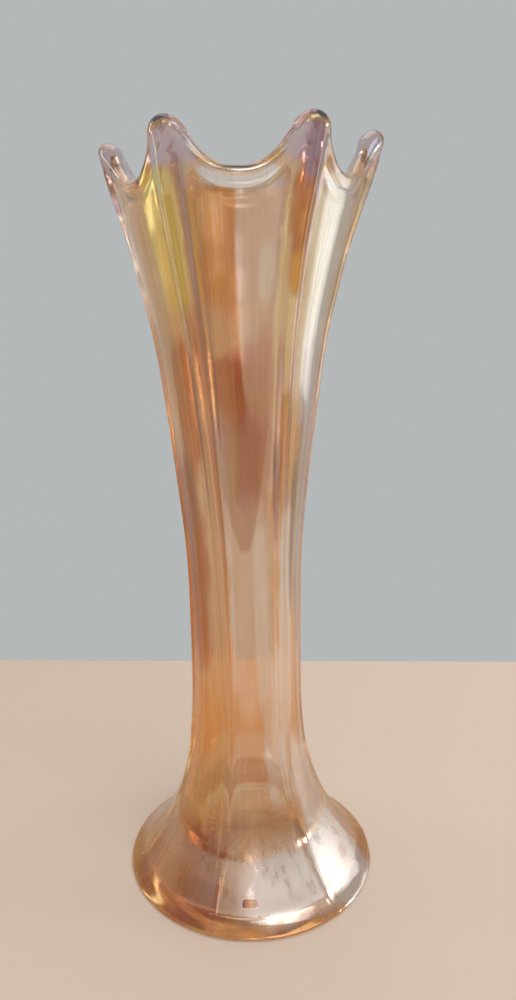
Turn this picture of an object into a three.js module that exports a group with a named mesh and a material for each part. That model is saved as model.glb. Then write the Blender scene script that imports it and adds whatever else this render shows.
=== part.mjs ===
// A swung art-glass vase: one piece of pressed glass with a flared solid foot, six narrow ribs and
// an open mouth whose ribs end in rounded fingers. After pressing, the hot glass was swung so that
// it stretched: the waist drew in, the ribs turned a little and the body came to lean to one side.
//
// Millimetres, +Z up. The origin is the centre of the resting plane. Azimuths are in degrees about
// +Z, measured from -Y (the front) towards +X.
import * as THREE from "three";

// Driving dimensions.
const RIB_COUNT = 6;
const RIB_PITCH = 360 / RIB_COUNT;
const FLOOR_Z = 10; // inside floor, above the resting plane: the foot is solid below it
const FLOOR_CORNER = 2.5; // radius between the floor and the inside wall
const REST_RING_INNER = 32.5;
const REST_RING_OUTER = 40.5;
const RECESS_DEPTH = 3; // the hollow under the foot, inside its rest ring
const STAR_RAYS = 24;
const STAR_INNER = 2.5;
const STAR_OUTER = 19;
const STAR_DEPTH = 0.9;

// Fingers, each on a rib, with the dip that follows it half a pitch further round. Tips and dips
// are heights of the rim's centre line, and lean is how far the finger flares past the mouth's own
// curve.
const FINGERS = [
  { azimuth: -30, tip: 229.3, lean: 0.2, dip: 219.3 },
  { azimuth: 30, tip: 230.4, lean: 0.6, dip: 219.5 },
  { azimuth: 90, tip: 231.5, lean: 0.9, dip: 220.5 },
  { azimuth: 150, tip: 232, lean: 0.4, dip: 224.2 },
  { azimuth: -150, tip: 231.6, lean: 0.6, dip: 219.9 },
  { azimuth: -90, tip: 227.8, lean: 1.5, dip: 217.2 },
];
const LOWEST_DIP = Math.min(...FINGERS.map((finger) => finger.dip));
const BLUNTNESS = 0.14; // roundness of a finger's tip, as a share of the way to the dip
const FINGER_TAPER = 2.6; // how quickly a finger falls away to the dips beside it
const FLARE_FROM = 195; // a finger starts to flare here and is fully flared at FLARE_TO
const FLARE_TO = 226;
const LEVEL_BELOW = 165; // rows of the wall below this height are level

// [height, value] stations, each joined by a smooth curve.
const OUTER_RADIUS = [
  [0, 41.5], [0.6, 41.9], [1.4, 40.9], [3, 38.5], [5, 36.5], [8, 34.2], [12, 31.2], [16.5, 28.3],
  [21.5, 25.6], [28, 22.9], [36, 20.4], [46, 18.5], [62, 17.3], [86, 17], [112, 17.3], [135, 19.2],
  [157, 21.6], [178, 24.4], [195, 28], [208, 31], [218, 33.6], [226, 35.6], [234, 37.3],
];
const INNER_RADIUS = [
  [10, 20.6], [15, 20.4], [19, 20], [24, 19.3], [28, 18.3], [36, 16.6], [46, 15.1], [62, 14.1], [86, 14],
  [112, 14.6], [135, 16.4], [157, 18.9], [178, 21.6], [195, 24.7], [208, 27.2], [218, 29.4],
  [226, 30.9], [234, 32],
];
const RIB_HEIGHT = [[0, 0.1], [6, 0.4], [20, 0.8], [50, 1.1], [150, 1.3], [205, 1.7], [234, 2.3]];
const RIB_HALF_WIDTH = [[0, 0.9], [20, 1.3], [50, 1.6], [150, 1.9], [205, 2.6], [234, 3.6]];
const TWIST = [[0, 12], [40, 11], [110, 7], [170, 2], [215, 0], [234, 0]]; // of the ribs, degrees
const LEAN = [
  [0, 0], [20, -0.7], [45, -1.4], [86, -2], [135, -3.1], [165, -3.6], [200, -4.3], [234, -3.8],
]; // X of the section's centre

// Mesh density.
const SEGMENTS = 72;
const CROWDING = 0.62; // how strongly the wall's columns gather at the ribs, 0 to 1
const OUTER_ROWS = [
  0.3, 0.9, 1.7, 3.4, 6, 10, 14, 17.5, 21, 25, 30, 37, 46, 58, 75, 95, 115, 135, 155, 172, 187,
  199, 208, 214, LOWEST_DIP,
];
const INNER_ROWS = [LOWEST_DIP, 214, 208, 199, 187, 172, 155, 135, 112, 86, 62, 46, 36, 29, 23, 17];
const RIM_STEPS = 6;
const CORNER_STEPS = 3;
const FLOOR_ROW_RADIUS = 9;
const STAR_ROW_RADII = [STAR_INNER, 6, 10.5, 15, STAR_OUTER];
const DOME_ROW_RADII = [22, 25.5, 29];

const { clamp, degToRad, smoothstep } = THREE.MathUtils;

// The value at z of a smooth curve through the stations (cubic, with central-difference slopes).
function through(stations, z) {
  const last = stations.length - 1;
  if (z <= stations[0][0]) return stations[0][1];
  if (z >= stations[last][0]) return stations[last][1];
  const slope = (k) => {
    const [zBefore, before] = stations[Math.max(k - 1, 0)];
    const [zAfter, after] = stations[Math.min(k + 1, last)];
    return (after - before) / (zAfter - zBefore);
  };
  const i = stations.findIndex((station) => station[0] > z) - 1;
  const [zLow, low] = stations[i];
  const [zHigh, high] = stations[i + 1];
  const span = zHigh - zLow;
  const t = (z - zLow) / span;
  const u = 1 - t;
  return low + (high - low) * t * t * (3 - 2 * t) + span * t * u * (slope(i) * u - slope(i + 1) * t);
}

// Degrees past the nearest rib, from -30 to 30, of an untwisted azimuth.
function pastRib(azimuth) {
  const fromFirst = azimuth - FINGERS[0].azimuth;
  return fromFirst - RIB_PITCH * Math.round(fromFirst / RIB_PITCH);
}

// The finger nearest to an untwisted azimuth, the dip on that side of it, and how much of a finger
// there is here: 1 on its centre and 0 midway between two.
function fingerAt(azimuth) {
  const wrap = (k) => ((k % RIB_COUNT) + RIB_COUNT) % RIB_COUNT;
  const turns = (azimuth - FINGERS[0].azimuth) / RIB_PITCH;
  const nearest = Math.round(turns);
  const dipOwner = turns >= nearest ? nearest : nearest - 1;
  const rounded = (x) => Math.hypot(x, BLUNTNESS) - BLUNTNESS;
  const away = rounded(2 * (turns - nearest)) / rounded(1);
  return {
    finger: FINGERS[wrap(nearest)],
    dip: FINGERS[wrap(dipOwner)].dip,
    share: Math.max(0, 1 - away) ** FINGER_TAPER,
  };
}

// Height of the rim's centre line.
function rimHeight(azimuth) {
  const { finger, dip, share } = fingerAt(azimuth);
  return dip + (finger.tip - dip) * share;
}

// Level rows low down; towards the mouth they bend up to follow the rim's centre line.
function rowHeight(level, azimuth) {
  const bend = smoothstep(level, LEVEL_BELOW, LOWEST_DIP) ** 2;
  return level + (rimHeight(azimuth) - LOWEST_DIP) * bend;
}

// How far a finger pushes both faces of the wall outwards.
function flare(azimuth, z) {
  const { finger, share } = fingerAt(azimuth);
  return finger.lean * share * smoothstep(z, FLARE_FROM, FLARE_TO);
}

function outerRadius(azimuth, z) {
  const plain = through(OUTER_RADIUS, z);
  const sideways = degToRad(pastRib(azimuth)) * plain;
  const rib = through(RIB_HEIGHT, z) / (1 + (sideways / through(RIB_HALF_WIDTH, z)) ** 4);
  return plain + rib + flare(azimuth, z);
}

function innerRadius(azimuth, z) {
  return through(INNER_RADIUS, z) + flare(azimuth, z);
}

// A point of the underside, which keeps the mould's round shape.
function moulded(radius, azimuth, z) {
  const angle = degToRad(azimuth);
  return new THREE.Vector3(radius * Math.sin(angle), -radius * Math.cos(angle), z);
}

// A point of the swung glass, twisted and leaning.
function swung(radius, azimuth, z) {
  const point = moulded(radius, azimuth + through(TWIST, z), z);
  point.x += through(LEAN, z);
  return point;
}

// A point of the rim's round edge: 0 on the outer face, half a turn on the inner one. The edge
// stands square to the rim's centre line, so the flanks of a finger are as round as its tip.
function rimPoint(azimuth, angle) {
  const z = rimHeight(azimuth);
  const outer = outerRadius(azimuth, z);
  const inner = innerRadius(azimuth, z);
  const middle = (outer + inner) / 2;
  const half = (outer - inner) / 2;
  const step = 0.25;
  const climb = (rimHeight(azimuth + step) - rimHeight(azimuth - step)) / degToRad(2 * step) / middle;
  const spread = (through(OUTER_RADIUS, z + 1) - through(OUTER_RADIUS, z - 1)) / 2;
  const turned = azimuth + through(TWIST, z);
  const outwards = moulded(1, turned, 0);
  const along = moulded(1, turned + 90, 0);
  const up = new THREE.Vector3(0, 0, 1).addScaledVector(along, -climb).normalize();
  up.addScaledVector(outwards, spread).normalize();
  return swung(middle, azimuth, z)
    .addScaledVector(outwards, half * Math.cos(angle))
    .addScaledVector(up, half * Math.sin(angle));
}

// The hollow is flat in the middle and rounds down to the ring that the foot rests on.
function domeHeight(radius) {
  return RECESS_DEPTH * (1 - smoothstep(radius, STAR_OUTER, REST_RING_INNER));
}

// The rays of the star are grooves in the underside, deepest in their middle.
function starPoint(radius, azimuth) {
  const ray = Math.max(0, Math.cos(degToRad(azimuth * STAR_RAYS))) ** 2;
  const reach = clamp((radius - STAR_INNER) / (STAR_OUTER - STAR_INNER), 0, 1);
  const groove = STAR_DEPTH * ray * Math.sin(Math.PI * reach ** 0.8);
  return moulded(radius, azimuth, RECESS_DEPTH + groove);
}

// The rows of the section, from the centre of the underside round to the centre of the floor. Each
// takes the column's own azimuth and the azimuth that it has once the columns gather at the ribs.
function sectionRows() {
  const rows = [() => new THREE.Vector3(0, 0, RECESS_DEPTH)];
  for (const radius of STAR_ROW_RADII) {
    rows.push((even) => starPoint(radius, even));
  }
  for (const radius of DOME_ROW_RADII) {
    rows.push((even) => moulded(radius, even, domeHeight(radius)));
  }
  rows.push((even) => moulded(REST_RING_INNER, even, 0));
  rows.push((even) => moulded(REST_RING_OUTER, even, 0));
  for (const level of OUTER_ROWS) {
    rows.push((even, gathered) => {
      const z = rowHeight(level, gathered);
      return swung(outerRadius(gathered, z), gathered, z);
    });
  }
  for (let k = 1; k < RIM_STEPS; k++) {
    rows.push((even, gathered) => rimPoint(gathered, (Math.PI * k) / RIM_STEPS));
  }
  for (const level of INNER_ROWS) {
    rows.push((even, gathered) => {
      const z = rowHeight(level, gathered);
      return swung(innerRadius(gathered, z), gathered, z);
    });
  }
  const cornerTop = FLOOR_Z + FLOOR_CORNER;
  const wallRadius = through(INNER_RADIUS, cornerTop);
  for (let k = 0; k <= CORNER_STEPS; k++) {
    const turn = (Math.PI / 2) * (k / CORNER_STEPS);
    const radius = wallRadius - FLOOR_CORNER * (1 - Math.cos(turn));
    rows.push((even, gathered) => swung(radius, gathered, cornerTop - FLOOR_CORNER * Math.sin(turn)));
  }
  rows.push((even) => swung(FLOOR_ROW_RADIUS, even, FLOOR_Z));
  rows.push(() => swung(0, 0, FLOOR_Z));
  return rows;
}

// A lathe with as many rows and columns gives the closed surface, and every vertex is then moved to
// the point that its row and column stand for.
function vaseGeometry() {
  const rows = sectionRows();
  const lastRow = rows.length - 1;
  const outline = rows.map((_, k) => new THREE.Vector2(k > 0 && k < lastRow ? 1 : 0, k));
  const geometry = new THREE.LatheGeometry(outline, SEGMENTS);
  const position = geometry.getAttribute("position");
  for (let i = 0; i < position.count; i++) {
    const column = Math.floor(i / rows.length) % SEGMENTS;
    const even = (360 * column) / SEGMENTS;
    const pull = (CROWDING * RIB_PITCH * Math.sin(degToRad(pastRib(even) * RIB_COUNT))) / (2 * Math.PI);
    const point = rows[i % rows.length](even, even - pull);
    position.setXYZ(i, point.x, point.y, point.z);
  }
  geometry.computeVertexNormals();
  return geometry;
}

const marigoldGlass = new THREE.MeshStandardMaterial({
  name: "marigold_glass",
  color: 0xc98a4b,
  roughness: 0.08,
  metalness: 0,
  transparent: true,
  opacity: 0.55,
});

const glassBody = new THREE.Mesh(vaseGeometry(), marigoldGlass);
glassBody.name = "glass_body";

const vase = new THREE.Group();
vase.name = "carnival_glass_vase";
vase.add(glassBody);

export default vase;
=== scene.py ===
"""The looks of the swung carnival glass vase: one sheet of iridescent marigold glass, built finely
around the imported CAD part, on a plain pale floor in soft studio light.

Lengths are millimetres until a mesh is made, and then metres. Azimuths are degrees about +Z,
measured from -Y (the front) towards +X, and count from the ribs as the mould made them: the
swung glass is then twisted and leans.
"""
import math

import bpy
import numpy as np
from mathutils import Matrix, Vector


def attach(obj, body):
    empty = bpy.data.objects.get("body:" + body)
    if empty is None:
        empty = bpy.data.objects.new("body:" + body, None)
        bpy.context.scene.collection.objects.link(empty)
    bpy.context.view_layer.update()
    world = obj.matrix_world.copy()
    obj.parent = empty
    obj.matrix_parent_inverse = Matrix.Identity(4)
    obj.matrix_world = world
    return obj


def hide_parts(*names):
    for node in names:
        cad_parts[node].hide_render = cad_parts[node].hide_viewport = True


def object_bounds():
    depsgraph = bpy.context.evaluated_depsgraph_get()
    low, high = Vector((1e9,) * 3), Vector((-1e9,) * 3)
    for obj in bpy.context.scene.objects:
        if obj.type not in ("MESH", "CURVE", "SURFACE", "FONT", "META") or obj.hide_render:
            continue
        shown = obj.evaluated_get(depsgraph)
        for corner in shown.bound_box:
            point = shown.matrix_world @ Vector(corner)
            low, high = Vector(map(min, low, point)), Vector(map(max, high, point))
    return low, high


MM = 0.001

# The glass, as in the CAD part.
RIB_COUNT = 6
RIB_PITCH = 360 / RIB_COUNT
FLOOR_Z = 10.0
FLOOR_CORNER = 2.5
REST_RING_INNER = 32.5
REST_RING_OUTER = 40.5
RECESS_DEPTH = 3.0
STAR_RAYS = 24
STAR_INNER = 2.5
STAR_OUTER = 19.0
STAR_DEPTH = 0.9
STAR_RAY_SHARPNESS = 2
STAR_DEEPEST = 0.8  # under 1 moves the deepest part of a ray towards the middle
FINGER_AZIMUTHS = np.array([-30.0, 30.0, 90.0, 150.0, 210.0, 270.0])
FINGER_TIPS = np.array([229.3, 230.4, 231.5, 232.0, 231.6, 227.8])
FINGER_LEANS = np.array([0.2, 0.6, 0.9, 0.4, 0.6, 1.5])
DIPS = np.array([219.3, 219.5, 220.5, 224.2, 219.9, 217.2])  # each lies just past its finger
LOWEST_DIP = DIPS.min()
BLUNTNESS = 0.14  # how rounded the fingers' tips are
FINGER_TAPER = 2.6  # how quickly a finger narrows towards its tip
FLARE_FROM = 195.0
FLARE_TO = 226.0
LEVEL_BELOW = 165.0  # the rows of the mesh are level up to here
OUTER_RADIUS = [
    (0, 41.5), (0.6, 41.9), (1.4, 40.9), (3, 38.5), (5, 36.5), (8, 34.2), (12, 31.2), (16.5, 28.3),
    (21.5, 25.6), (28, 22.9), (36, 20.4), (46, 18.5), (62, 17.3), (86, 17), (112, 17.3),
    (135, 19.2), (157, 21.6), (178, 24.4), (195, 28), (208, 31), (218, 33.6), (226, 35.6),
    (234, 37.3),
]
INNER_RADIUS = [
    (10, 20.6), (15, 20.4), (19, 20), (24, 19.3), (28, 18.3), (36, 16.6), (46, 15.1), (62, 14.1),
    (86, 14), (112, 14.6), (135, 16.4), (157, 18.9), (178, 21.6), (195, 24.7), (208, 27.2), (218, 29.4),
    (226, 30.9), (234, 32),
]
RIB_HEIGHT = [(0, 0.1), (6, 0.4), (20, 0.8), (50, 1.1), (150, 1.3), (205, 1.7), (234, 2.3)]
RIB_HALF_WIDTH = [(0, 0.9), (20, 1.3), (50, 1.6), (150, 1.9), (205, 2.6), (234, 3.6)]
RIB_SHARPNESS = 4
TWIST = [(0, 12), (40, 11), (110, 7), (170, 2), (215, 0), (234, 0)]
LEAN = [
    (0, 0), (20, -0.7), (45, -1.4), (86, -2), (135, -3.1), (165, -3.6), (200, -4.3), (234, -3.8),
]

# Mesh density: level rows are given as (from, to, step).
COLUMNS = 336
CROWDING = 0.55  # how strongly the columns gather at the ribs
NEAR_MOUTH = LOWEST_DIP - 8
OUTER_LEVELS = [(0.15, 6, 0.35), (6, 30, 1.0), (30, NEAR_MOUTH, 2.0), (NEAR_MOUTH, LOWEST_DIP, 0.6)]
INNER_LEVELS = [(LOWEST_DIP, NEAR_MOUTH, -0.6), (NEAR_MOUTH, 16, -2.0)]
RIM_STEPS = 14
CORNER_STEPS = 7
FLOOR_STEPS = 6
STAR_STEPS = 16
DOME_STEPS = 10
RIM_PROBE = 0.25  # degrees each way, to measure how steeply the rim climbs
WALL_PROBE = 1.0  # millimetres each way, to measure how the wall flares at the rim
REST_RING_INSET = 0.3  # from each edge of the rest ring to the row that keeps it flat

UNDERSIDE_FILM = 0.35  # how much of the film reached the underside

# Marks of the swinging: shallow ripples that run up the glass.
RIPPLE_WAVES = range(7, 48)
RIPPLE_DEPTH = 0.015
RIPPLE_DRIFT = 0.02  # the most that a wave turns, in radians per millimetre of height
RIPPLE_RISE = (4, 40)  # from no ripples to full ones
OUTER_SEED = 3
INNER_SEED = 8

# The fire-polished lip: a bead along the rim, set off by a faint waist below it.
LIP_WAIST = 0.4
LIP_WAIST_EASE = 0.7  # the share of the waist that the fingers are spared
LIP_DROP = 3.0  # from the rim down to where the waist is narrowest
LIP_SPREAD = 1.1

# The camera: metres and degrees.
CAMERA_PLACE = (0.0, -0.2364, 0.1919)
CAMERA_PITCH = 15.06
CAMERA_TURN = 0.39
CAMERA_ROLL = 0.36
CAMERA_LENS = 28.08  # millimetres
CAMERA_CLIP = 0.01


# ---------------------------------------------------------------- shape of the glass

def through(stations, z):
    """The value at z of a smooth curve through (height, value) stations."""
    heights, values = np.array(stations, float).T
    slopes = np.empty_like(values)
    slopes[1:-1] = (values[2:] - values[:-2]) / (heights[2:] - heights[:-2])
    slopes[0] = (values[1] - values[0]) / (heights[1] - heights[0])
    slopes[-1] = (values[-1] - values[-2]) / (heights[-1] - heights[-2])
    z = np.clip(z, heights[0], heights[-1])
    i = np.clip(np.searchsorted(heights, z, side="right") - 1, 0, len(heights) - 2)
    gap = heights[i + 1] - heights[i]
    t = (z - heights[i]) / gap
    u = 1 - t
    rise = (values[i + 1] - values[i]) * t * t * (3 - 2 * t)
    return values[i] + rise + gap * t * u * (slopes[i] * u - slopes[i + 1] * t)


def smoothstep(x, low, high):
    t = np.clip((x - low) / (high - low), 0, 1)
    return t * t * (3 - 2 * t)


def past_rib(azimuth):
    """Degrees past the nearest rib, from -30 to 30."""
    from_first = azimuth - FINGER_AZIMUTHS[0]
    return from_first - RIB_PITCH * np.round(from_first / RIB_PITCH)


def finger_at(azimuth):
    """Which finger is nearest, which dip lies on that side of it, and how much finger is here."""
    turns = (azimuth - FINGER_AZIMUTHS[0]) / RIB_PITCH
    nearest = np.round(turns).astype(int)
    dip_owner = np.where(turns >= nearest, nearest, nearest - 1)
    reach = math.hypot(1, BLUNTNESS) - BLUNTNESS
    away = (np.hypot(2 * (turns - nearest), BLUNTNESS) - BLUNTNESS) / reach
    share = np.maximum(0, 1 - away) ** FINGER_TAPER
    return nearest % RIB_COUNT, dip_owner % RIB_COUNT, share


def rim_height(azimuth):
    """How high the rim stands: at its finger's tip on a rib, and at the dip's bottom between two."""
    finger, dip, share = finger_at(azimuth)
    return DIPS[dip] + (FINGER_TIPS[finger] - DIPS[dip]) * share


def row_height(level, azimuth):
    """Level rows low down, which bend up towards the mouth to follow its fingers."""
    bend = smoothstep(level, LEVEL_BELOW, LOWEST_DIP) ** 2
    return level + (rim_height(azimuth) - LOWEST_DIP) * bend


def flare(azimuth, z):
    """How far a finger leans outwards."""
    finger, _, share = finger_at(azimuth)
    return FINGER_LEANS[finger] * share * smoothstep(z, FLARE_FROM, FLARE_TO)


def rib_share(azimuth, z):
    """1 on the crest of a rib, falling to 0 on the panels."""
    sideways = np.radians(past_rib(azimuth)) * through(OUTER_RADIUS, z)
    return 1 / (1 + (sideways / through(RIB_HALF_WIDTH, z)) ** RIB_SHARPNESS)


def ripples(azimuth, z, seed):
    """Shallow waves round the glass that drift slowly with height; strongest in the swung part."""
    rng = np.random.default_rng(seed)
    total = 0
    for waves in RIPPLE_WAVES:
        phase = rng.uniform(0, 2 * math.pi)
        drift = rng.uniform(-RIPPLE_DRIFT, RIPPLE_DRIFT)
        total = total + np.sin(waves * np.radians(azimuth) + phase + drift * z) / math.sqrt(waves)
    return RIPPLE_DEPTH * total * smoothstep(z, *RIPPLE_RISE)


def lip_waist(azimuth, z):
    """How far each face draws in just below the lip; the fingers keep most of their width."""
    below_rim = rim_height(azimuth) - z
    _, _, finger = finger_at(azimuth)
    depth = LIP_WAIST * (1 - LIP_WAIST_EASE * finger)
    return depth * np.exp(-(((below_rim - LIP_DROP) / LIP_SPREAD) ** 2))


def outer_radius(azimuth, z):
    rib = through(RIB_HEIGHT, z) * rib_share(azimuth, z)
    fine = ripples(azimuth, z, OUTER_SEED) - lip_waist(azimuth, z)
    return through(OUTER_RADIUS, z) + rib + flare(azimuth, z) + fine


def inner_radius(azimuth, z):
    fine = ripples(azimuth, z, INNER_SEED) + lip_waist(azimuth, z)
    return through(INNER_RADIUS, z) + flare(azimuth, z) + fine


def moulded(radius, azimuth, z):
    """Points of the underside, which keeps the mould's round shape."""
    angle = np.radians(azimuth)
    return np.stack(np.broadcast_arrays(radius * np.sin(angle), -radius * np.cos(angle), z), -1)


def swung(radius, azimuth, z):
    """Points of the swung glass, twisted and leaning."""
    points = moulded(radius, azimuth + through(TWIST, z), z)
    points[:, 0] += through(LEAN, z)
    return points


def unit(vectors):
    return vectors / np.linalg.norm(vectors, axis=-1, keepdims=True)


def rim_points(azimuth, angle):
    """The rim's round edge: angle 0 is on the outer face and pi on the inner one."""
    z = rim_height(azimuth)
    outer, inner = outer_radius(azimuth, z), inner_radius(azimuth, z)
    middle, half = (outer + inner) / 2, (outer - inner) / 2
    rise = rim_height(azimuth + RIM_PROBE) - rim_height(azimuth - RIM_PROBE)
    climb = rise / math.radians(2 * RIM_PROBE) / middle
    widening = through(OUTER_RADIUS, z + WALL_PROBE) - through(OUTER_RADIUS, z - WALL_PROBE)
    spread = widening / (2 * WALL_PROBE)
    turned = azimuth + through(TWIST, z)
    outwards = moulded(1, turned, 0)
    along = moulded(1, turned + 90, 0)
    up = unit(np.array([0, 0, 1]) - along * climb[:, None])
    up = unit(up + outwards * spread[:, None])
    edge = outwards * math.cos(angle) + up * math.sin(angle)
    return swung(middle, azimuth, z) + edge * half[:, None]


def dome_height(radius):
    """The hollow under the foot: flat in the middle and rounded down to the ring it rests on."""
    return RECESS_DEPTH * (1 - smoothstep(radius, STAR_OUTER, REST_RING_INNER))


def star_points(radius, azimuth):
    ray = np.maximum(0, np.cos(np.radians(azimuth * STAR_RAYS))) ** STAR_RAY_SHARPNESS
    reach = np.clip((radius - STAR_INNER) / (STAR_OUTER - STAR_INNER), 0, 1)
    groove = STAR_DEPTH * ray * math.sin(math.pi * reach ** STAR_DEEPEST)
    return moulded(radius, azimuth, RECESS_DEPTH + groove)


def levels(ranges):
    return np.concatenate([np.arange(*limits) for limits in ranges])


def section_rows(even, gathered):
    """The rows of the glass from under the foot, up the outside, over the rim and down inside.
    Each is (points, azimuths, how much of the film is here: 1 outside and 0 inside)."""
    rows = []
    for radius in np.linspace(STAR_INNER, STAR_OUTER, STAR_STEPS):
        rows.append((star_points(radius, even), even, UNDERSIDE_FILM))
    for radius in np.linspace(STAR_OUTER, REST_RING_INNER, DOME_STEPS + 1)[1:]:
        rows.append((moulded(radius, even, dome_height(radius)), even, UNDERSIDE_FILM))
    flat_from, flat_to = REST_RING_INNER + REST_RING_INSET, REST_RING_OUTER - REST_RING_INSET
    for radius in (flat_from, flat_to, REST_RING_OUTER):
        rows.append((moulded(radius, even, 0.0), even, UNDERSIDE_FILM))
    for level in levels(OUTER_LEVELS):
        z = row_height(level, gathered)
        rows.append((swung(outer_radius(gathered, z), gathered, z), gathered, 1.0))
    for k in range(RIM_STEPS + 1):
        angle = math.pi * k / RIM_STEPS
        rows.append((rim_points(gathered, angle), gathered, 1.0 - k / RIM_STEPS))
    for level in levels(INNER_LEVELS)[1:]:
        z = row_height(level, gathered)
        rows.append((swung(inner_radius(gathered, z), gathered, z), gathered, 0.0))
    corner_top = FLOOR_Z + FLOOR_CORNER
    for k in range(CORNER_STEPS + 1):
        turn = math.pi / 2 * k / CORNER_STEPS
        radius = inner_radius(gathered, corner_top) - FLOOR_CORNER * (1 - math.cos(turn))
        z = corner_top - FLOOR_CORNER * math.sin(turn)
        rows.append((swung(radius, gathered, z), gathered, 0.0))
    widest_floor = through(INNER_RADIUS, corner_top) - FLOOR_CORNER
    for k in range(1, FLOOR_STEPS):
        rows.append((swung(widest_floor * (1 - k / FLOOR_STEPS), even, FLOOR_Z), even, 0.0))
    return rows


def glass_grid():
    """All the rows as arrays: points in metres, azimuths and shares of film."""
    even = np.arange(COLUMNS) * 360 / COLUMNS
    pull = np.degrees(CROWDING * np.sin(np.radians(past_rib(even) * RIB_COUNT)) / RIB_COUNT)
    rows = section_rows(even, even - pull)
    points = np.array([row[0] for row in rows]) * MM
    azimuths = np.array([row[1] for row in rows])
    outside = np.array([np.full(COLUMNS, row[2]) for row in rows])
    return points, azimuths, outside


def glass_faces(row_count, first_centre, last_centre):
    """Quads between the rows, and a fan of triangles at each end."""
    column = np.arange(COLUMNS)
    following = (column + 1) % COLUMNS
    faces = []
    for row in range(row_count - 1):
        low, high = row * COLUMNS, (row + 1) * COLUMNS
        faces += np.stack([low + column, low + following, high + following, high + column], 1).tolist()
    last = (row_count - 1) * COLUMNS
    faces += [[first_centre, b, a] for a, b in zip(column, following)]
    faces += [[last_centre, last + a, last + b] for a, b in zip(column, following)]
    return faces


def build_glass(box):
    points, azimuths, outside = glass_grid()
    row_count = len(points)
    flat = points.reshape(-1, 3)
    centre_under = [0, 0, RECESS_DEPTH * MM]
    centre_floor = swung(0.0, np.zeros(1), np.full(1, FLOOR_Z))[0] * MM
    vertices = np.vstack([flat, centre_under, centre_floor])
    vertices = np.clip(vertices, box[0], box[1])  # the CAD part's facets cut the corners of its box
    mesh = bpy.data.meshes.new("vase_glass")
    mesh.from_pydata(vertices.tolist(), [], glass_faces(row_count, len(flat), len(flat) + 1))
    mesh.polygons.foreach_set("use_smooth", np.ones(len(mesh.polygons), bool))
    mesh.update()
    write_attribute(mesh, "outside", np.append(outside.ravel(), [0, 0]))
    paint_film(mesh, vertices / MM, np.append(azimuths.ravel(), [0, 0]))
    vase = bpy.data.objects.new("vase_glass", mesh)
    bpy.context.collection.objects.link(vase)
    return vase


def write_attribute(mesh, name, values):
    attribute = mesh.attributes.new(name, "FLOAT", "POINT")
    attribute.data.foreach_set("value", np.asarray(values, np.float32))


# ---------------------------------------------------------------- the marigold film

# Where the sprayed film is unlike the rest, and where shade and reflections are painted on it:
# (azimuth, height, half width in degrees, half height).
FILM_PATCHES = {
    "gold": [(-38, 204, 13, 19), (118, 190, 30, 40), (-142, 206, 14, 20)],
    "orange": [(-12, 202, 11, 17), (-163, 202, 10, 16), (30, 197, 7, 6), (0, 1.5, 180, 3),
               (-58, 42, 30, 30)],
    "rust": [(-46, 162, 13, 18), (-127, 163, 10, 17), (-8, 160, 15, 16), (29, 211, 7, 10),
             (160, 150, 24, 30), (-76, 110, 32, 38), (-58, 12, 34, 12), (100, 150, 16, 30)],
    # Rose is partly a pinker, paler film and partly painted reflection: the pale bands down the front
    # and the neck.
    "rose_and_reflection": [(15, 190, 11, 30), (3, 188, 4, 30), (30, 178, 6, 13), (18, 150, 8, 14), (0, 98, 24, 38),
             (21, 50, 12, 22), (-100, 210, 20, 25), (75, 120, 20, 60), (-140, 100, 24, 60)],
    # Silver is partly a paler, thinner film and partly painted reflection of the lights, on the right
    # panel, the neck and the front of the foot; low at the back it is painted light.
    "silver_and_reflection": [(54, 190, 17, 36), (25, 10, 45, 8), (54, 24, 18, 26), (38, 95, 11, 40), (15, 196, 5, 8),
               (10, 94, 8, 34), (24, 62, 7, 20), (2, 219, 18, 3), (-170, 18, 60, 18)],
    # Violet is a thicker film at the fingertips; its small patch low on the foot is a painted dark
    # reflection.
    "violet": [(57, 9, 5, 1.5)]
              + [(azimuth, tip, 16, 8) for azimuth, tip in zip(FINGER_AZIMUTHS, FINGER_TIPS)],
    # Plum darkens the fingertips; its long stripe down the far rib is painted shade.
    "plum": [(31, 225, 5, 6), (88, 222, 5, 7), (-86, 216, 4, 4), (-150, 186, 4, 44)],
    "bare": [(-12, 7.3, 4, 1)],
}
PATCH_SHARPNESS = 4  # how abruptly a patch, or the bloom, ends
# Painted dark reflections, as tongues that hang down the waist: (azimuth, height of the tip, of the
# top, half width there).
REFLECTED_TONGUES = [(-5, 116, 162, 25)]
TONGUE_FADE = 12.0
TONGUE_EDGE = (-0.6, 1.0)  # degrees inside its outline, from no tongue to all of it
TONGUE_TIP_BLUR = 1.0
# Painted dark reflections as thin spikes beside the ribs, given in the same way.
REFLECTED_SPIKES = [(-24, 110, 228, 2.2), (25, 119, 156, 4), (-55, 119, 150, 4), (48, 92, 150, 5)]
# The satin ring round the foot, and the pale bloom on it, a painted sheen that is strongest towards the
# lights on the front right.
SATIN_RISE = (3.5, 5.5)
SATIN_FALL = (13, 30)
SATIN_OFF_RIBS = 0.5  # how much less satin the ribs get, which keeps their crests on the foot darker: painted shade
BLOOM_AZIMUTH = 25.0  # where the bloom is strongest
BLOOM_WIDTH = 60.0
BLOOM_LEAST = 0.05
# The ribs' painted shade is weaker low down.
RIB_SHADE_LEAST = 0.3
RIB_SHADE_RISE = (110, 190)
FLOW_HEIGHT = 100.0  # millimetres of height for each unit of the flow coordinates


def turned_from(azimuth, azimuths):
    """Degrees from one azimuth to each of the others, from -180 to 180."""
    return (azimuths - azimuth + 180) % 360 - 180


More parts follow.
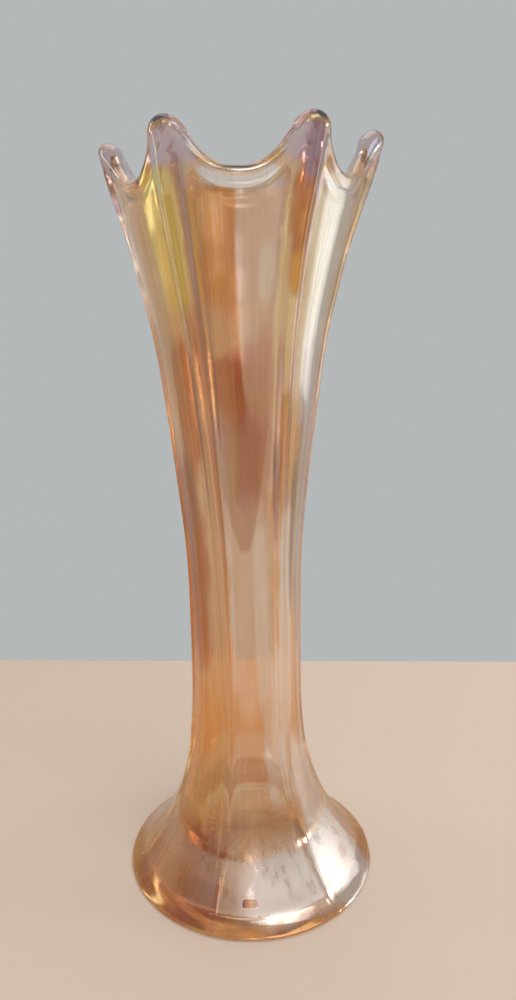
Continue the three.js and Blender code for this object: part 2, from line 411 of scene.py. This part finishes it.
def tongues(shapes, azimuths, height):
    """1 inside a hanging tongue and 0 outside, with a fairly crisp edge that rounds its tip."""
    total = np.zeros(len(azimuths))
    for azimuth, tip, top, half_width in shapes:
        aside = turned_from(azimuth, azimuths)
        reach = np.sqrt(np.clip((height - tip) / (top - tip), 0, 1)) * half_width
        inside = smoothstep(reach - np.abs(aside), *TONGUE_EDGE)
        inside *= smoothstep(height, tip - TONGUE_TIP_BLUR, tip + TONGUE_TIP_BLUR)
        total += inside * (1 - smoothstep(height, top - TONGUE_FADE, top))
    return np.minimum(total, 1)


def paint_film(mesh, points, azimuths):
    """Attributes that say where each colour of the film is, where shade and reflections are painted on
    it, where the satin and the painted sheen of its bloom are, and how the glass flowed."""
    height = points[:, 2]
    for name, patches in FILM_PATCHES.items():
        total = np.zeros(len(points))
        for azimuth, level, half_width, half_height in patches:
            aside = turned_from(azimuth, azimuths)
            away = np.abs(aside / half_width) ** PATCH_SHARPNESS
            total += np.exp(-away - np.abs((height - level) / half_height) ** PATCH_SHARPNESS)
        write_attribute(mesh, name, np.minimum(total, 1))
    # The ribs' painted shade, deeper high up.
    rib = rib_share(azimuths, height)
    deepening = RIB_SHADE_LEAST + (1 - RIB_SHADE_LEAST) * smoothstep(height, *RIB_SHADE_RISE)
    write_attribute(mesh, "rib", rib * deepening)
    # Masks of the painted dark reflections: the tongue and the spikes.
    write_attribute(mesh, "tongue", tongues(REFLECTED_TONGUES, azimuths, height))
    write_attribute(mesh, "spike", tongues(REFLECTED_SPIKES, azimuths, height))
    ring = smoothstep(height, *SATIN_RISE) * (1 - smoothstep(height, *SATIN_FALL))
    write_attribute(mesh, "satin", ring * (1 - SATIN_OFF_RIBS * rib))
    # The bloom is a painted sheen: the satin is whitened most towards the lights on the front right.
    bright = np.exp(-(turned_from(BLOOM_AZIMUTH, azimuths) / BLOOM_WIDTH) ** PATCH_SHARPNESS)
    write_attribute(mesh, "bloom", BLOOM_LEAST + (1 - BLOOM_LEAST) * bright)
    angle = np.radians(azimuths)
    flow = mesh.attributes.new("flow", "FLOAT_VECTOR", "POINT")
    rows = np.stack([np.sin(angle), -np.cos(angle), height / FLOW_HEIGHT], 1)
    flow.data.foreach_set("vector", rows.astype(np.float32).ravel())


# ---------------------------------------------------------------- shader helpers

NOISE_ROUGHNESS = 0.55  # the usual one
# The colour sockets of a Mix node, which share their names with its other sockets.
MIX_A = 6
MIX_B = 7
MIX_RESULT = 2


def make(tree, kind, inputs=None, **settings):
    """Adds a shader node; an input is a value, or a socket to link from."""
    node = tree.nodes.new(kind)
    for name, value in settings.items():
        setattr(node, name, value)
    for name, value in (inputs or {}).items():
        if isinstance(value, bpy.types.NodeSocket):
            tree.links.new(value, node.inputs[name])
        else:
            node.inputs[name].default_value = value
    return node


def attribute(tree, name, output="Fac"):
    return make(tree, "ShaderNodeAttribute", attribute_name=name).outputs[output]


def maths(tree, operation, a, b):
    return make(tree, "ShaderNodeMath", {0: a, 1: b}, operation=operation).outputs[0]


def times(tree, a, b):
    """The product of two sockets, or of a socket and a number."""
    return maths(tree, "MULTIPLY", a, b)


def span(tree, value, low, high, to_low=0.0, to_high=1.0):
    """value, mapped smoothly from low..high to to_low..to_high."""
    inputs = {"Value": value, "From Min": low, "From Max": high, "To Min": to_low, "To Max": to_high}
    node = make(tree, "ShaderNodeMapRange", inputs, interpolation_type="SMOOTHSTEP")
    return node.outputs[0]


def noise(tree, vector, stretch, scale, detail, roughness=NOISE_ROUGHNESS):
    mapping = make(tree, "ShaderNodeMapping", {"Vector": vector, "Scale": stretch})
    inputs = {"Vector": mapping.outputs[0], "Scale": scale, "Detail": detail, "Roughness": roughness}
    return make(tree, "ShaderNodeTexNoise", inputs).outputs["Fac"]


def mix(tree, share, a, b):
    """Colour a where share is 0, and colour b where it is 1."""
    node = make(tree, "ShaderNodeMix", {"Factor": share}, data_type="RGBA")
    for socket, value in ((node.inputs[MIX_A], a), (node.inputs[MIX_B], b)):
        if isinstance(value, bpy.types.NodeSocket):
            tree.links.new(value, socket)
        else:
            socket.default_value = (*value, 1.0)
    return node.outputs[MIX_RESULT]


def principled(name, **inputs):
    """A material with a Principled shader; an input's name has _ for each space."""
    material = bpy.data.materials.new(name)
    material.use_nodes = True
    shader = material.node_tree.nodes["Principled BSDF"]
    for socket, value in inputs.items():
        shader.inputs[socket.replace("_", " ")].default_value = value
    return material, material.node_tree, shader


# ---------------------------------------------------------------- materials

FLOOR_COLOUR = (0.82, 0.65, 0.53)
FLOOR_GLOW = 0.22  # the share of the floor's brightness that is glow
FLOOR_ROUGHNESS = 0.6
OPEN_FLOOR_LIGHT = 0.9  # how bright the lit floor is for its colour
AMBER = (0.89, 0.47, 0.20)
SHADE = (0.60, 0.35, 0.23)
# HAZE is the colour of the satin's painted sheen.
HAZE = (0.90, 0.83, 0.78)
ORANGE = (0.82, 0.32, 0.06)
GOLD = (0.86, 0.58, 0.09)
RUST = (0.52, 0.11, 0.02)
ROSE = (0.99, 0.81, 0.69)
PALE = (0.98, 0.94, 0.90)
BURNT = (0.28, 0.09, 0.04)
RIB_SHADE = (0.52, 0.20, 0.09)
VIOLET = (0.60, 0.42, 0.46)
PLUM = (0.26, 0.12, 0.15)
# UMBER is the colour of the spikes' painted dark reflections.
UMBER = (0.22, 0.13, 0.12)
INSIDE = (0.99, 0.96, 0.92)
PATCH_TINTS = {"gold": GOLD, "orange": ORANGE, "rust": RUST, "rose_and_reflection": ROSE, "silver_and_reflection": PALE,
               "violet": VIOLET, "plum": PLUM}

# Noises in the film: (stretch of the flow coordinates, scale, detail) and, where it isn't the usual
# one, roughness.
CLOUD = ((1.6, 1.6, 3.0), 2.2, 4)
STREAK = ((9.0, 9.0, 0.5), 2.0, 5, 0.65)
FIBRE = ((24.0, 24.0, 0.6), 3.0, 4)
SPECK = ((50.0, 50.0, 60.0), 3.0, 1)
BLOTCH = ((4.0, 4.0, 7.0), 2.5, 4)
SPECKLE = ((30.0, 30.0, 90.0), 3.0, 3)
GRAIN = ((30.0, 30.0, 1.2), 3.0, 4)

# Smooth steps over (from, to), from 0 to 1 or between the two values that follow.
PATCH_EDGE = (0.2, 0.7)
STREAKS = (0.5, 0.8, 0.0, 0.28)
PALE_FIBRES = (0.52, 0.72, 0.0, 0.20)
DARK_FIBRES = (0.48, 0.28, 0.0, 0.28)
SPECKS = (0.74, 0.78)
BLOTCHES = (0.3, 0.6, 0.5, 1.0)
SPECKLES = (0.3, 0.5, 0.75, 1.0)
BARE_EDGE = (0.2, 0.5)
LUSTRE = (0.3, 0.7, 0.04, 0.16)
ROUGHNESS = (0.0, 1.0, 0.04, 0.42)  # from clear glass to full satin
CLEARNESS = (0.0, 1.0, 1.0, 0.6)  # from clear glass to full bloom
FILM_THICKNESS = (0.35, 1.05, 265.0, 320.0)  # nanometres
SILVER_THINNING = (0.2, 0.7, 1.0, 0.3)

GLASS_IOR = 1.5
FILM_IOR = 1.7
RAGGEDNESS = 0.9  # how far the clouds push a patch's edge to and fro
RIB_SHARE = 0.8  # how fully the ribs' painted shade and the painted reflections and sheen of the next three cover what is below them
TONGUE_SHARE = 0.9
SPIKE_SHARE = 0.8
HAZE_SHARE = 0.8
SILVER_LUSTRE = 0.12
HAZE_LUSTRE = 0.15
STREAK_THICKENING = 0.35
VIOLET_THICKENING = 30.0  # nanometres
GRAIN_STRENGTH = 0.08
GRAIN_DEPTH = 0.0003


def tinted_film(tree, flow, streak, edge):
    """The film's colour away from the satin: painted shade on the ribs, patches, some of them painted
    reflections, the tongue and spikes, which are painted dark reflections, and fine marks.
    """
    # Painted shade along the ribs.
    colour = mix(tree, times(tree, attribute(tree, "rib"), RIB_SHARE), AMBER, RIB_SHADE)
    for name, tint in PATCH_TINTS.items():
        ragged = maths(tree, "ADD", attribute(tree, name), edge)
        colour = mix(tree, span(tree, ragged, *PATCH_EDGE), colour, tint)
    # Painted dark reflection: the tongue.
    colour = mix(tree, times(tree, attribute(tree, "tongue"), TONGUE_SHARE), colour, SHADE)
    colour = mix(tree, span(tree, streak, *STREAKS), colour, PALE)
    fibre = noise(tree, flow, *FIBRE)
    colour = mix(tree, span(tree, fibre, *PALE_FIBRES), colour, PALE)
    colour = mix(tree, span(tree, fibre, *DARK_FIBRES), colour, RUST)
    # Painted dark reflections: the spikes.
    colour = mix(tree, times(tree, attribute(tree, "spike"), SPIKE_SHARE), colour, UMBER)
    return mix(tree, span(tree, noise(tree, flow, *SPECK), *SPECKS), colour, RUST)


def satin_share(tree, flow, outside, bare):
    """Where the foot is satin: blotchy, speckled and gone from the bare spot."""
    satin = times(tree, attribute(tree, "satin"), outside)
    blotch = span(tree, noise(tree, flow, *BLOTCH), *BLOTCHES)
    speckle = span(tree, noise(tree, flow, *SPECKLE), *SPECKLES)
    satin = times(tree, times(tree, satin, blotch), speckle)
    return times(tree, satin, maths(tree, "SUBTRACT", 1.0, bare))


def film_lustre(tree, cloud, outside, whitened):
    """How metallic the film is: cloudy on the outside, and more so where it is silver or white."""
    lustre = times(tree, span(tree, cloud, *LUSTRE), outside)
    lustre = maths(tree, "ADD", lustre, times(tree, attribute(tree, "silver_and_reflection"), SILVER_LUSTRE))
    return maths(tree, "ADD", lustre, times(tree, whitened, HAZE_LUSTRE))


def film_thickness(tree, cloud, streak, edge, outside, whitened):
    """Thinner where the film is silver or white, thicker where it is violet, and none inside."""
    uneven = maths(tree, "ADD", cloud, times(tree, streak, STREAK_THICKENING))
    silvered = maths(tree, "MAXIMUM", attribute(tree, "silver_and_reflection"), whitened)
    silvered = maths(tree, "ADD", silvered, edge)
    thickness = times(tree, span(tree, uneven, *FILM_THICKNESS), span(tree, silvered, *SILVER_THINNING))
    violet = times(tree, attribute(tree, "violet"), VIOLET_THICKENING)
    return times(tree, maths(tree, "ADD", thickness, violet), outside)


def marigold_glass():
    """Clear glass under a thin, uneven metallic film that colours what is seen through it."""
    material, tree, shader = principled(
        "marigold_glass", Transmission_Weight=1.0, IOR=GLASS_IOR, Thin_Film_IOR=FILM_IOR,
    )
    flow = attribute(tree, "flow", "Vector")
    outside = attribute(tree, "outside")
    cloud = noise(tree, flow, *CLOUD)
    streak = noise(tree, flow, *STREAK)
    edge = maths(tree, "SUBTRACT", times(tree, cloud, RAGGEDNESS), RAGGEDNESS / 2)
    bare = span(tree, maths(tree, "ADD", attribute(tree, "bare"), edge), *BARE_EDGE)
    satin = satin_share(tree, flow, outside, bare)
    # Where the painted sheen whitens the satin.
    whitened = times(tree, satin, attribute(tree, "bloom"))

    colour = mix(tree, bare, tinted_film(tree, flow, streak, edge), BURNT)
    # The painted sheen: a pale haze over the satin.
    colour = mix(tree, times(tree, whitened, HAZE_SHARE), colour, HAZE)
    grain = noise(tree, flow, *GRAIN)
    bump = make(tree, "ShaderNodeBump",
                {"Height": grain, "Strength": GRAIN_STRENGTH, "Distance": GRAIN_DEPTH})
    linked = {
        "Base Color": mix(tree, outside, INSIDE, colour),
        "Metallic": film_lustre(tree, cloud, outside, whitened),
        "Roughness": span(tree, satin, *ROUGHNESS),
        "Transmission Weight": span(tree, whitened, *CLEARNESS),
        "Thin Film Thickness": film_thickness(tree, cloud, streak, edge, outside, whitened),
        "Normal": bump.outputs[0],
    }
    for name, socket in linked.items():
        tree.links.new(socket, shader.inputs[name])
    return material


def floor_paint():
    """Plain pale paint. Part of its brightness is its own glow, in place of the light that real
    glass gathers under the foot."""
    paint = tuple((1 - FLOOR_GLOW) * part for part in FLOOR_COLOUR)
    material, _, _ = principled(
        "floor_paint", Base_Color=(*paint, 1.0), Roughness=FLOOR_ROUGHNESS,
        Emission_Color=(*FLOOR_COLOUR, 1.0), Emission_Strength=FLOOR_GLOW * OPEN_FLOOR_LIGHT,
    )
    return material


# ---------------------------------------------------------------- the stage

WALL = (0.58, 0.60, 0.60)
ROOM = (0.42, 0.37, 0.33)
ROOM_TO_WALL = (-0.6, 0.1)  # where one turns into the other: the Y of the direction looked in
WORLD_STRENGTH = 0.8
FLOOR_SIZE = 3.0
FLOOR_BACK = 0.145  # the floor ends this far behind the vase
FLOOR_DROP = 0.0001  # keeps the floor's face clear of the glass that rests on it
LIGHTS = {  # place, width and height in metres, power in watts, colour
    "window": ((0.62, 0.02, 0.22), (0.08, 0.12), 0.6, (1.0, 0.99, 0.98)),
    "window_glow": ((0.66, 0.04, 0.24), (0.30, 0.30), 0.22, (1.0, 0.99, 0.98)),
    "pale_wall": ((0.70, 0.25, 0.16), (0.30, 0.36), 0.42, (1.0, 0.99, 0.98)),
    "doorway": ((0.02, -1.05, 0.58), (0.20, 0.42), 1.0, (1.0, 0.94, 0.92)),
    "front_sky": ((0.62, -0.68, 1.05), (0.9, 0.6), 4.5, (1.0, 0.98, 0.96)),
    "left_strip": ((-0.85, 0.15, 0.35), (0.06, 0.7), 0.8, (1.0, 0.96, 0.90)),
    "top": ((-0.1, 0.5, 1.3), (0.9, 0.9), 2.2, (1.0, 1.0, 1.0)),
}
LIGHT_TARGET = (0, 0, 0.11)  # the middle of the vase
# Light crosses many faces of the glass on its way.
MOST_BOUNCES = 32
MOST_GLOSSY_BOUNCES = 16


def add_floor():
    bpy.ops.mesh.primitive_plane_add(
        size=FLOOR_SIZE, location=(0, FLOOR_BACK - FLOOR_SIZE / 2, -FLOOR_DROP),
    )
    floor = bpy.context.object
    floor.name = "floor"
    floor.data.materials.append(floor_paint())


def add_camera():
    data = bpy.data.cameras.new("camera")
    data.lens = CAMERA_LENS
    data.clip_start = CAMERA_CLIP
    camera = bpy.data.objects.new("camera", data)
    bpy.context.collection.objects.link(camera)
    turn = Matrix.Rotation(math.radians(-CAMERA_TURN), 4, "Z")
    tilt = Matrix.Rotation(math.radians(90 - CAMERA_PITCH), 4, "X")
    roll = Matrix.Rotation(math.radians(CAMERA_ROLL), 4, "Z")
    camera.matrix_world = Matrix.Translation(CAMERA_PLACE) @ turn @ tilt @ roll
    bpy.context.scene.camera = camera


def add_light(name, place, size, power, colour):
    """A soft rectangular light that looks at the middle of the vase."""
    data = bpy.data.lights.new(name, "AREA")
    data.shape = "RECTANGLE"
    data.size, data.size_y = size
    data.energy = power
    data.color = colour
    light = bpy.data.objects.new(name, data)
    bpy.context.collection.objects.link(light)
    light.location = place
    aim = Vector(LIGHT_TARGET) - Vector(place)
    light.rotation_euler = aim.to_track_quat("-Z", "Y").to_euler()


def add_world():
    """A pale grey wall behind the vase, and a darker, warmer room in front of it."""
    world = bpy.data.worlds.new("studio")
    world.use_nodes = True
    tree = world.node_tree
    direction = make(tree, "ShaderNodeTexCoord").outputs["Generated"]
    backwards = make(tree, "ShaderNodeSeparateXYZ", {"Vector": direction}).outputs["Y"]
    colour = mix(tree, span(tree, backwards, *ROOM_TO_WALL), ROOM, WALL)
    background = tree.nodes["Background"]
    tree.links.new(colour, background.inputs["Color"])
    background.inputs["Strength"].default_value = WORLD_STRENGTH
    bpy.context.scene.world = world


def add_studio():
    add_world()
    for name, settings in LIGHTS.items():
        add_light(name, *settings)
    scene = bpy.context.scene
    scene.view_settings.view_transform = "Standard"
    scene.cycles.max_bounces = MOST_BOUNCES
    scene.cycles.glossy_bounces = MOST_GLOSSY_BOUNCES
    scene.cycles.transmission_bounces = MOST_BOUNCES


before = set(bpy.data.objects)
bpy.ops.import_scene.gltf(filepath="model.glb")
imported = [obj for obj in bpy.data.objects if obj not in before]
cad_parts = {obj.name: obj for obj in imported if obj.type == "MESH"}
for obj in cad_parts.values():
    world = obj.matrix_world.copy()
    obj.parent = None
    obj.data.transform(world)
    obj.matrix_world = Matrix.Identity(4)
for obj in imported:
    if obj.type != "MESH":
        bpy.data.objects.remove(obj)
cad_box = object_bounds()
add_camera()
vase = build_glass(cad_box)
vase.data.materials.append(marigold_glass())
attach(vase, "root")
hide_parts("glass_body")
add_floor()
add_studio()
bpy.context.view_layer.update()
